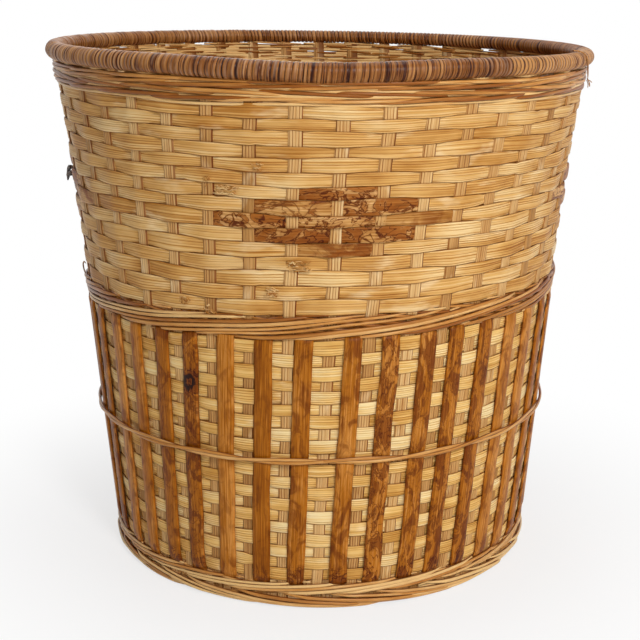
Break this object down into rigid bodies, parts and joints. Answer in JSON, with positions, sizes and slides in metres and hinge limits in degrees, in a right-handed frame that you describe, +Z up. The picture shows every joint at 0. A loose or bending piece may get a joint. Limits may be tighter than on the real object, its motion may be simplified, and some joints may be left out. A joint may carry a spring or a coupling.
{
  "type": "woven wastebasket",
  "caption": "Round open wastebasket of split bamboo, flared from foot to rim, with waled bands, dark upright slats round the lower half and a cane-bound rim.",
  "frame": {"origin": "middle of the foot, on the surface that the basket stands on", "axes": "+Z up along the basket's axis, -Y towards the side that the picture shows, +X to its right"},
  "size_m": [0.2997, 0.2995, 0.2841],
  "materials": {
    "stake": "dry split bamboo with lengthwise lines",
    "lower_splint": "pale dry split bamboo",
    "upper_splint": "golden dry split bamboo",
    "rod": "satin cane rod",
    "bark_slat": "satin dark bark, mottled",
    "lath": "plain split lath",
    "rim_cane": "satin red-brown split cane"
  },
  "bodies": {
    "root": {"base_and_stakes": "stake", "foot_hoop": "rod", "foot_wale": "rod", "lower_weaver": "lower_splint", "rim_binding_01": "rim_cane", "rim_binding_02": "rim_cane", "rim_binding_03": "rim_cane", "rim_binding_04": "rim_cane", "rim_hoop_inner": "lath", "rim_hoop_outer": "lath", "slat_01": "bark_slat", "slat_02": "bark_slat", "slat_03": "bark_slat", "slat_04": "bark_slat", "slat_05": "bark_slat", "slat_06": "bark_slat", "slat_07": "bark_slat", "slat_08": "bark_slat", "slat_09": "bark_slat", "slat_10": "bark_slat", "slat_11": "bark_slat", "slat_12": "bark_slat", "slat_13": "bark_slat", "slat_14": "bark_slat", "slat_15": "bark_slat", "slat_16": "bark_slat", "slat_17": "bark_slat", "slat_18": "bark_slat", "slat_19": "bark_slat", "slat_20": "bark_slat", "slat_21": "bark_slat", "slat_22": "bark_slat", "slat_23": "bark_slat", "slat_24": "bark_slat", "slat_25": "bark_slat", "slat_26": "bark_slat", "slat_27": "bark_slat", "slat_28": "bark_slat", "slat_29": "bark_slat", "slat_30": "bark_slat", "slat_31": "bark_slat", "slat_32": "bark_slat", "slat_33": "bark_slat", "slat_34": "bark_slat", "slat_35": "bark_slat", "slat_36": "bark_slat", "slat_37": "bark_slat", "slat_38": "bark_slat", "slat_39": "bark_slat", "slat_40": "bark_slat", "slat_41": "bark_slat", "slat_twine": "rod", "top_wale": "rod", "upper_weaver": "upper_splint", "waist_wale": "rod"}
  },
  "joints": []
}
